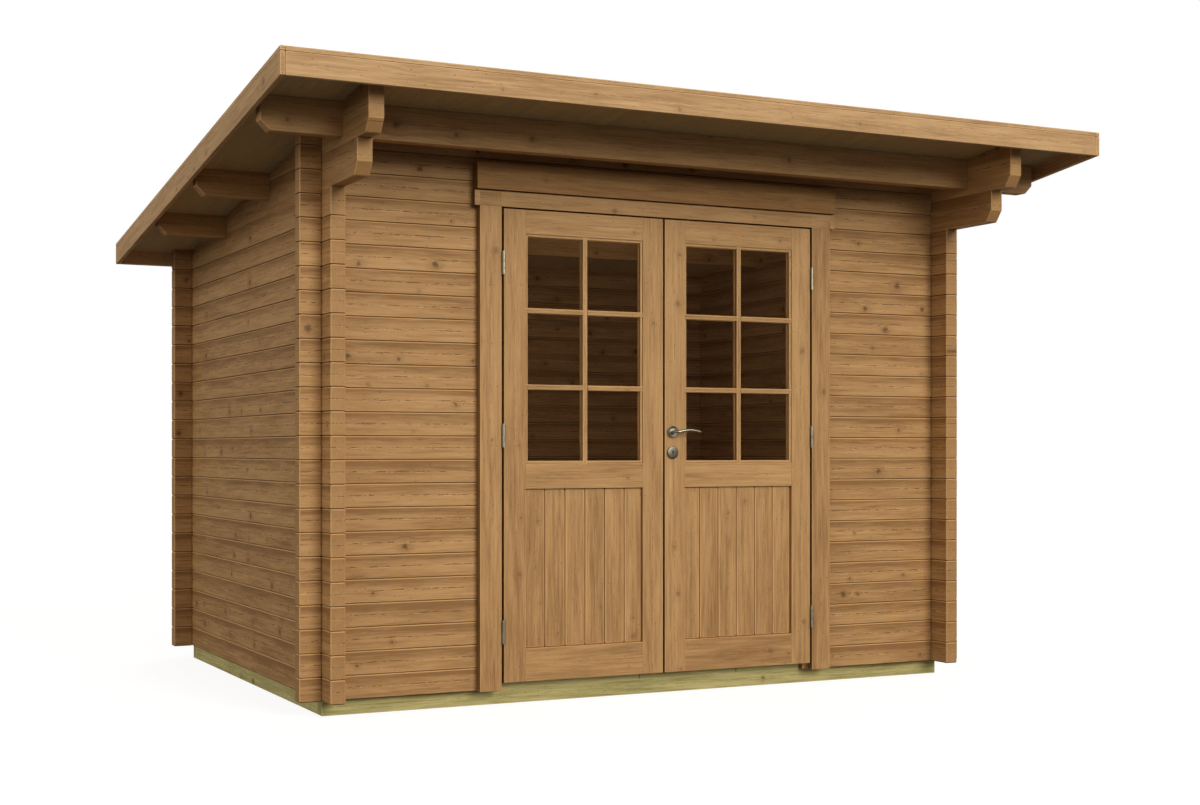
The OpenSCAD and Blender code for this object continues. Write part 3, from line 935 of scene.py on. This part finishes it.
class SHED_OT_leaves(ShedPiece, bpy.types.Operator):
    """Make the stiles, rails and boarded panel of both leaves"""

    bl_idname = "shed.leaves"
    bl_label = "Door leaves"

    def execute(self, context):
        sizes = self.sizes
        width = sizes.panel_board
        for leaf, side in LEAVES:
            body = f"{leaf}_door"
            # Stiles and rails get painted shade on their narrow sides
            for part, lie in (("stile", UPRIGHT_FRONT), ("rail", LEVEL_FRONT)):
                names = (f"{leaf}_{part}_boards", f"{body}_{part}s")
                timber(*names, lie, DOOR_BOARD, sizes.board_edge, body, shade=0.5)
            # The panel's odd board stands at its inner side
            low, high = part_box(f"{body}_panel")
            outer = high.x if side > 0 else -low.x
            count = int((high.x - low.x) / width)
            cuts = [(RIGHT, sorted(side * (outer - width * (i + 1)) for i in range(count)))]
            names = (f"{leaf}_panel_boards", f"{body}_panel")
            timber(*names, UPRIGHT_FRONT, DOOR_BOARD, sizes.panel_joint, body, cuts)
        return {"FINISHED"}


class SHED_OT_glazing(ShedPiece, bpy.types.Operator):
    """Make the beads and bars round the panes, on both faces, and finish the glass"""

    bl_idname = "shed.glazing"
    bl_label = "Glazing"

    bead_recess = 4 * MM
    bar_recess = 1.5 * MM
    moulding = 5 * MM
    moulding_steps = 3
    arris = 1.6 * MM
    # Painted shade on the narrow sides of beads and bars
    painted_side_shade = 0.5
    rows = 3

    def strip(self, made, low, high, along, dice, faces, mitres=(), joints=()):
        """Adds one strip of moulding, rounded where two of its faces, given as ways, meet."""
        bm = block(low, high)
        rounded = []
        for e in bm.edges:
            ways = [f.normal for f in e.link_faces]
            for pair in faces:
                if all(any(way.dot(side) > FACING for way in ways) for side in pair):
                    rounded.append(e)
        round_over(bm, rounded, self.moulding, self.moulding_steps)
        for point, way in mitres:
            cut_off(bm, point, way)
        # The moulding's rounded faces are painted pale, partly as wear and partly as a painted highlight
        shade = self.painted_side_shade
        dress(bm, (along, FRONT), dice, self.arris, joints, steps=1, shade=shade, moulded=True)
        join(made, bm)

    def beads(self, made, low, high, near, far, outward, dice):
        """Adds the four mitred beads round the opening of a leaf, on one of its faces."""
        bead = self.sizes.bead
        corners = [Vector((x, 0, z)) for x in (low.x, high.x) for z in (low.z, high.z)]
        for (x0, z0), (x1, z1), along, inward in (
            ((low.x, low.z), (high.x, low.z + bead), RIGHT, UP),
            ((low.x, high.z - bead), (high.x, high.z), RIGHT, -UP),
            ((low.x, low.z), (low.x + bead, high.z), UP, RIGHT),
            ((high.x - bead, low.z), (high.x, high.z), UP, -RIGHT),
        ):
            middle = Vector(((x0 + x1) / 2, 0, (z0 + z1) / 2))
            mitres = []
            for corner in corners:
                reach = corner - middle
                if abs(reach.dot(inward)) < bead:
                    to_end = along * math.copysign(1, reach.dot(along))
                    mitres.append((corner, (to_end + inward).normalized()))
            outer_side = min(Vector((x, 0, z)).dot(inward) for x, z in ((x0, z0), (x1, z1)))
            joints = [(inward, [outer_side])]
            ends = ((x0, near, z0), (x1, far, z1))
            self.strip(made, *ends, along, dice, [(outward, inward)], mitres, joints)

    def bars(self, made, low, high, near, far, outward, dice):
        """Adds the upright bar and the level ones, on one face of a leaf."""
        bead, bar = self.sizes.bead, self.sizes.bar
        left = (low.x + high.x) / 2 - bar / 2
        right = left + bar
        faces = [(outward, RIGHT), (outward, -RIGHT)]
        self.strip(made, (left, near, low.z), (right, far, high.z), UP, dice, faces)
        pane = (high.z - low.z - 2 * bead - (self.rows - 1) * bar) / self.rows
        faces = [(outward, UP), (outward, -UP)]
        for row in range(1, self.rows):
            z = low.z + bead + row * pane + (row - 1) * bar
            for x0, x1 in ((low.x, left), (right, high.x)):
                self.strip(made, (x0, near, z), (x1, far, z + bar), RIGHT, dice, faces)

    def execute(self, context):
        for leaf, _ in LEAVES:
            body = f"{leaf}_door"
            name = f"{leaf}_beads_and_bars"
            dice = random.Random(name)
            made = bmesh.new()
            add_wood_layers(made)
            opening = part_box(f"{body}_glazing_bars")
            faces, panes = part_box(f"{body}_stiles"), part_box(f"{body}_glass")
            for face, pane, outward in zip(faces, panes, (FRONT, BACK)):
                for adds, recess in ((self.beads, self.bead_recess), (self.bars, self.bar_recess)):
                    near, far = sorted((face.y - outward.y * recess, pane.y))
                    adds(made, *opening, near, far, outward, dice)
            place_piece(name, made, DOOR_BOARD, body, [f"{body}_glazing_bars"])
            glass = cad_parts[f"{body}_glass"]
            glass.data.materials.clear()
            glass.data.materials.append(finish("clear_float_glass"))
        return {"FINISHED"}


# ---- ironmongery


class SHED_OT_hinges(ShedPiece, bpy.types.Operator):
    """Make both halves of the six butt hinges, with their screws"""

    bl_idname = "shed.hinges"
    bl_label = "Hinges"

    barrel_r = 6.5 * MM
    barrel_edge = 0.8 * MM
    pin_r = 3.4 * MM
    gap = 1 * MM
    plate_t = 2 * MM
    plate_edge = 0.4 * MM
    screw_r = 3.5 * MM
    screw_t = 0.4 * MM
    screw_edge = 0.2 * MM
    # Each screw's place, as shares of the plate's height and depth: the middle one stands forward
    screws = ((0.2, 0.75), (0.5, 0.45), (0.8, 0.75))
    smooth = 20

    def half(self, made, axis, low, high, x, back, toward):
        """Adds one knuckle with its plate, which lies from x towards the side called toward and
        shows its screws there."""
        join(made, rod((*axis, low), (*axis, high), self.barrel_r, self.barrel_edge))
        front = axis[1]
        far_x = x + toward * self.plate_t
        x0, x1 = sorted((x, far_x))
        plate = block((x0, front, low), (x1, back, high))
        ease(plate, self.plate_edge)
        join(made, plate)
        for up, deep in self.screws:
            foot = Vector((far_x, front + (back - front) * deep, low + (high - low) * up))
            head = foot + RIGHT * toward * self.screw_t
            join(made, rod(foot, head, self.screw_r, self.screw_edge, 12))

    def knuckles(self, cad_node):
        """Low and high ends of a leaf's knuckles, from the CAD node's own solids."""
        bm = cad_solid(cad_node)
        spans = set()
        for verts in islands(bm):
            heights = [v.co.z for v in verts]
            spans.add((round(min(heights), 4), round(max(heights), 4)))
        bm.free()
        return sorted(spans)

    def execute(self, context):
        frame_half = bmesh.new()
        low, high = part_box("frame_hinge_leaves")
        gap = self.gap
        for leaf, side in LEAVES:
            body = f"{leaf}_door"
            leaf_half = bmesh.new()
            stile_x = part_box(f"{body}_stiles")[side > 0].x
            trim_x = side * (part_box("door_side_trims")[1].x - self.sizes.trim_width)
            axis = ((stile_x + trim_x) / 2, low.y + self.barrel_r)
            for z0, z1 in self.knuckles(f"{body}_hinge_leaves"):
                self.half(leaf_half, axis, z0, z1, stile_x, high.y, side)
                foot = z0 - gap - (z1 - z0) - gap
                self.half(frame_half, axis, foot, z0 - gap, trim_x, high.y, -side)
                join(frame_half, rod((*axis, z0 - 2 * gap), (*axis, z0 + gap), self.pin_r))
            nodes = [f"{body}_hinge_leaves"]
            place_piece(f"{leaf}_hinge_flaps", leaf_half, SATIN, body, nodes, self.smooth)
        nodes = ["frame_hinge_leaves"]
        place_piece("frame_hinge_flaps", frame_half, SATIN, "root", nodes, self.smooth)
        return {"FINISHED"}


class SHED_OT_handle(ShedPiece, bpy.types.Operator):
    """Make the roses, the keyhole plates and the lever handles"""

    bl_idname = "shed.handle"
    bl_label = "Door handle"

    # Radius and height, in millimetres, of a rose's dished face and raised rim
    rose_face = ((8, 0), (8, 5.4), (14, 5.2), (20, 5.8))
    rose_rim = ((22.5, 7.4), (24.2, 8), (25.4, 7.4), (26, 6.2), (26, 0))
    turning_steps = 48
    neck_r = 8 * MM
    lever_reach = 114 * MM
    lever_rise = 7 * MM
    # Width and thickness of the lever where it leaves its neck and at its tip
    heel = (15 * MM, 11 * MM)
    tip = (9 * MM, 7 * MM)
    bend_r = 14 * MM
    bend_steps = 5
    lever_steps = 12
    lever_sides = 20
    # How far out the rounded tip's rings lie, in half widths, and how wide they are
    tip_rings = ((0.55, 0.83), (0.9, 0.45))
    spindle = 7 * MM
    plate_hole_r = 20 * MM
    plate_edge = 2 * MM
    smooth = 35

    def rose(self, made, centre, outward):
        """Adds a turned rose with a raised rim round a dished face."""
        bm = bmesh.new()
        outline = [(r * MM, h * MM) for r, h in self.rose_face + self.rose_rim]
        verts = [bm.verts.new(centre + RIGHT * r + outward * h) for r, h in outline]
        edges = [bm.edges.new(pair) for pair in zip(verts, verts[1:])]
        bmesh.ops.spin(
            bm, geom=[*verts, *edges], cent=centre, axis=outward,
            angle=math.tau, steps=self.turning_steps, use_merge=True,
        )
        bmesh.ops.remove_doubles(bm, verts=bm.verts, dist=WELD)
        bmesh.ops.bridge_loops(bm, edges=[e for e in bm.edges if e.is_boundary])
        bmesh.ops.recalc_face_normals(bm, faces=bm.faces)
        join(made, bm)

    def section(self, share):
        """Half width and half thickness of the lever at a share of its length."""
        return [(a * (1 - share) + b * share) / 2 for a, b in zip(self.heel, self.tip)]

    def stations(self, centre, outward, proud):
        """Places, ways and half sizes of the lever's rings: its neck, its bend, its arch and its tip."""
        neck_end = proud - self.bend_r
        for depth in (1 * MM, 3 * MM, neck_end * 0.6, neck_end):
            yield centre + outward * depth, outward, (self.neck_r, self.neck_r)
        for i in range(1, self.bend_steps + 1):
            share = i / self.bend_steps
            angle = math.pi / 2 * share
            at = centre + outward * (neck_end + self.bend_r * math.sin(angle))
            at = at + RIGHT * self.bend_r * (1 - math.cos(angle))
            way = outward * math.cos(angle) + RIGHT * math.sin(angle)
            yield at, way, [self.neck_r * (1 - share) + half * share for half in self.section(0)]
        first = self.bend_r / self.lever_reach
        for i in range(1, self.lever_steps + 1):
            share = i / self.lever_steps
            t = first + (1 - first) * share
            rise = self.lever_rise * math.sin(math.pi * share)
            at = centre + outward * proud + RIGHT * self.lever_reach * t + UP * rise
            slope = math.pi * self.lever_rise * math.cos(math.pi * share) / self.lever_reach
            way = (RIGHT + UP * slope).normalized()
            size = self.section(t)
            yield at, way, size
        for share, shrink in self.tip_rings:
            yield at + way * size[0] * share, way, [half * shrink for half in size]

    def lever(self, centre, outward, proud):
        """A lever swept from its neck, round a bend and out along a slight arch."""
        bm = bmesh.new()
        sides = self.lever_sides
        ring = bmesh.ops.create_circle(bm, cap_ends=True, segments=sides, radius=1.0)["verts"]
        loop = [e for e in bm.edges if e.verts[0] in ring and e.verts[1] in ring]
        before = Matrix.Identity(4)
        for i, (at, way, size) in enumerate(self.stations(centre, outward, proud)):
            side = way.cross(UP).normalized() if abs(way.dot(UP)) < FACING else RIGHT
            up = side.cross(way).normalized()
            axes = Matrix((side * size[1], up * size[0], way)).transposed().to_4x4()
            here = Matrix.Translation(at) @ axes
            if i:
                grown = bmesh.ops.extrude_edge_only(bm, edges=loop)["geom"]
                ring = [g for g in grown if isinstance(g, bmesh.types.BMVert)]
                loop = [g for g in grown if isinstance(g, bmesh.types.BMEdge)]
            bmesh.ops.transform(bm, matrix=here @ before.inverted(), verts=ring)
            before = here
        bmesh.ops.holes_fill(bm, edges=loop, sides=0)
        bmesh.ops.recalc_face_normals(bm, faces=bm.faces)
        return bm

    def keyhole_plates(self):
        """Both keyhole plates, with their outer rims rounded."""
        bm = cad_solid("keyhole_plates")
        middle = sum(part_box("keyhole_plates"), Vector()) / 2
        rims = []
        for e in bm.edges:
            nearest = min(math.hypot(v.co.x - middle.x, v.co.z - middle.z) for v in e.verts)
            if e.calc_face_angle(0) > RIM_ANGLE and nearest > self.plate_hole_r:
                rims.append(e)
        round_over(bm, rims, self.plate_edge, 3)
        return bm

    def execute(self, context):
        body = "right_door"
        low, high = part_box("handle_roses")
        front, back = (face.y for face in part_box("right_door_stiles"))
        x, _, z = (low + high) / 2
        sides = [(Vector((x, front, z)), FRONT), (Vector((x, back, z)), BACK)]
        roses = bmesh.new()
        for centre, outward in sides:
            self.rose(roses, centre, outward)
        place_piece("rose_pair", roses, SATIN, body, ["handle_roses"], self.smooth)
        # The keyhole plates take the darker steel, which is painted shade
        plates = self.keyhole_plates()
        place_piece("keyhole_pair", plates, SHADED_STEEL, body, ["keyhole_plates"], self.smooth)

        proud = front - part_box("outer_lever")[0].y - self.heel[1] / 2
        outer, inner = (self.lever(*side, proud) for side in sides)
        half = Vector((self.spindle / 2, 0, self.spindle / 2))
        join(outer, block(sides[0][0] - half, sides[1][0] + half))
        place_piece("outer_handle", outer, SATIN, "door_handle", ["outer_lever"], self.smooth)
        place_piece("inner_handle", inner, SATIN, "door_handle", ["inner_lever"], self.smooth)
        return {"FINISHED"}


# ---- studio


class SHED_OT_studio(ShedPiece, bpy.types.Operator):
    """Make the pale floor, the plain backdrop, the soft light and the camera"""

    bl_idname = "shed.studio"
    bl_label = "Studio"

    floor_r = 40.0
    backdrop_r = 90.0
    far_clip = 300
    film_width = 36
    warm_white = (1.0, 0.98, 0.85)
    zenith_share = 0.6
    paper_glow = 0.86
    # Each far light's setting, spread in degrees and the way it comes from
    far_lights = (
        ("key", 30, (0.20, -0.90, 0.35)),
        ("fill", 60, (-0.93, -0.20, 0.30)),
        ("rear", 60, (0.55, 0.78, 0.30)),
    )
    room_light_at = (0.3, -0.45, 1.45)
    room_light_r = 0.4

    def stage(self, name, bm, material_name, **shader_inputs):
        """Adds a glowing stage object that the camera sees, and that throws no light on the shed."""
        material, tree = start_material(material_name)
        set_shader(tree, Specular_IOR_Level=0.0, Emission_Color=(1, 1, 1, 1), **shader_inputs)
        thing = add_object(name, mesh_of(name, bm))
        thing.data.materials.append(material)
        thing.visible_diffuse = False
        thing.visible_glossy = False
        return thing

    def floor(self):
        """A wide disc of matt pale paper, which takes the shed's soft shadow."""
        bm = bmesh.new()
        bmesh.ops.create_circle(bm, cap_ends=True, segments=96, radius=self.floor_r)
        grey = (*linear("#89898B"), 1)
        look = {"Base_Color": grey, "Roughness": 1.0, "Emission_Strength": self.paper_glow}
        self.stage("studio_floor", bm, "matt_white_paper", **look)

    def backdrop(self):
        """A plain white dome behind everything."""
        bm = bmesh.new()
        bmesh.ops.create_icosphere(bm, subdivisions=4, radius=self.backdrop_r)
        bmesh.ops.reverse_faces(bm, faces=bm.faces)
        look = {"Base_Color": (0, 0, 0, 1), "Emission_Strength": 1.0}
        dome = self.stage("studio_backdrop", bm, "white_backdrop", **look)
        dome.visible_shadow = False

    def sky(self, studio):
        """Even light from above, and a little warm fill from below."""
        world = bpy.data.worlds.new("soft_sky")
        bpy.context.scene.world = world
        world.use_nodes = True
        tree = world.node_tree
        add = partial(node, tree)
        height = add("SeparateXYZ", add("TexCoord", output="Generated")).node.outputs[2]
        share = add("Math MULTIPLY_ADD", height, 0.5, 0.5)
        below, horizon, zenith = (
            [level * part for part in self.warm_white]
            for level in (studio.ground, studio.sky, studio.sky * self.zenith_share)
        )
        tint = add("ValToRGB", share, stops=[(0.48, below), (0.53, horizon), (1.0, zenith)])
        fill(tree, tree.nodes["Background"].inputs["Color"], tint)

    def light(self, name, kind, strength):
        """A warm white light of some kind."""
        light = bpy.data.lights.new(name, kind)
        light.energy = strength
        light.color = self.warm_white
        return add_object(name, light)

    def lights(self, studio):
        """Three soft lights from far away, and a weak glow inside that shows the room dimly."""
        for key, spread, comes_from in self.far_lights:
            lamp = self.light(f"soft_{key}", "SUN", getattr(studio, key))
            lamp.data.angle = math.radians(spread)
            lamp.rotation_mode = "QUATERNION"
            lamp.rotation_quaternion = Vector(comes_from).to_track_quat("Z", "Y")
        glow = self.light("room_glow", "POINT", studio.room)
        glow.data.shadow_soft_size = self.room_light_r
        glow.location = self.room_light_at
        glow.visible_camera = False
        glow.visible_glossy = False
        glow.visible_transmission = False

    def camera(self, studio):
        """A level camera at standing distance, turned to see the front and the left side."""
        data = bpy.data.cameras.new("view")
        data.lens = studio.lens
        data.sensor_width = self.film_width
        data.shift_y = studio.rise
        data.clip_end = self.far_clip
        camera = add_object("view", data)
        camera.location = studio.place
        camera.rotation_euler = (math.pi / 2, 0, -studio.turn)
        bpy.context.scene.camera = camera

    def execute(self, context):
        studio = context.scene.shed_studio
        self.floor()
        self.backdrop()
        self.sky(studio)
        self.lights(studio)
        self.camera(studio)
        context.scene.view_settings.view_transform = "Standard"
        return {"FINISHED"}


OPERATORS = (
    SHED_OT_studio,
    SHED_OT_base,
    SHED_OT_floor,
    SHED_OT_walls,
    SHED_OT_corbels,
    SHED_OT_roof_timbers,
    SHED_OT_fascias,
    SHED_OT_felt,
    SHED_OT_door_frame,
    SHED_OT_leaves,
    SHED_OT_glazing,
    SHED_OT_hinges,
    SHED_OT_handle,
)


class SHED_PT_panel(bpy.types.Panel):
    """Lists the shed's settings and pieces in the sidebar"""

    bl_idname = "SHED_PT_panel"
    bl_label = "Garden shed"
    bl_space_type = "VIEW_3D"
    bl_region_type = "UI"
    bl_category = "Shed"

    def draw(self, context):
        layout = self.layout
        scene = context.scene
        for settings in (scene.shed_joinery, scene.shed_finish, scene.shed_studio):
            box = layout.box()
            for key in settings.__annotations__:
                box.prop(settings, key)
        for operator in OPERATORS:
            layout.operator(operator.bl_idname)


SETTINGS = {"shed_joinery": ShedJoinery, "shed_finish": ShedFinish, "shed_studio": ShedStudio}


def register():
    for key, group in SETTINGS.items():
        bpy.utils.register_class(group)
        setattr(bpy.types.Scene, key, PointerProperty(type=group))
    for shed_class in (*OPERATORS, SHED_PT_panel):
        bpy.utils.register_class(shed_class)


def unregister():
    for shed_class in reversed((*OPERATORS, SHED_PT_panel)):
        bpy.utils.unregister_class(shed_class)
    for key, group in SETTINGS.items():
        delattr(bpy.types.Scene, key)
        bpy.utils.unregister_class(group)


def main():
    register()
    for operator in OPERATORS:
        group, name = operator.bl_idname.split(".")
        result = getattr(getattr(bpy.ops, group), name)()
        if result != {"FINISHED"}:
            raise RuntimeError(f"{operator.bl_idname} did not finish")


if __name__ == "__main__":
    main()
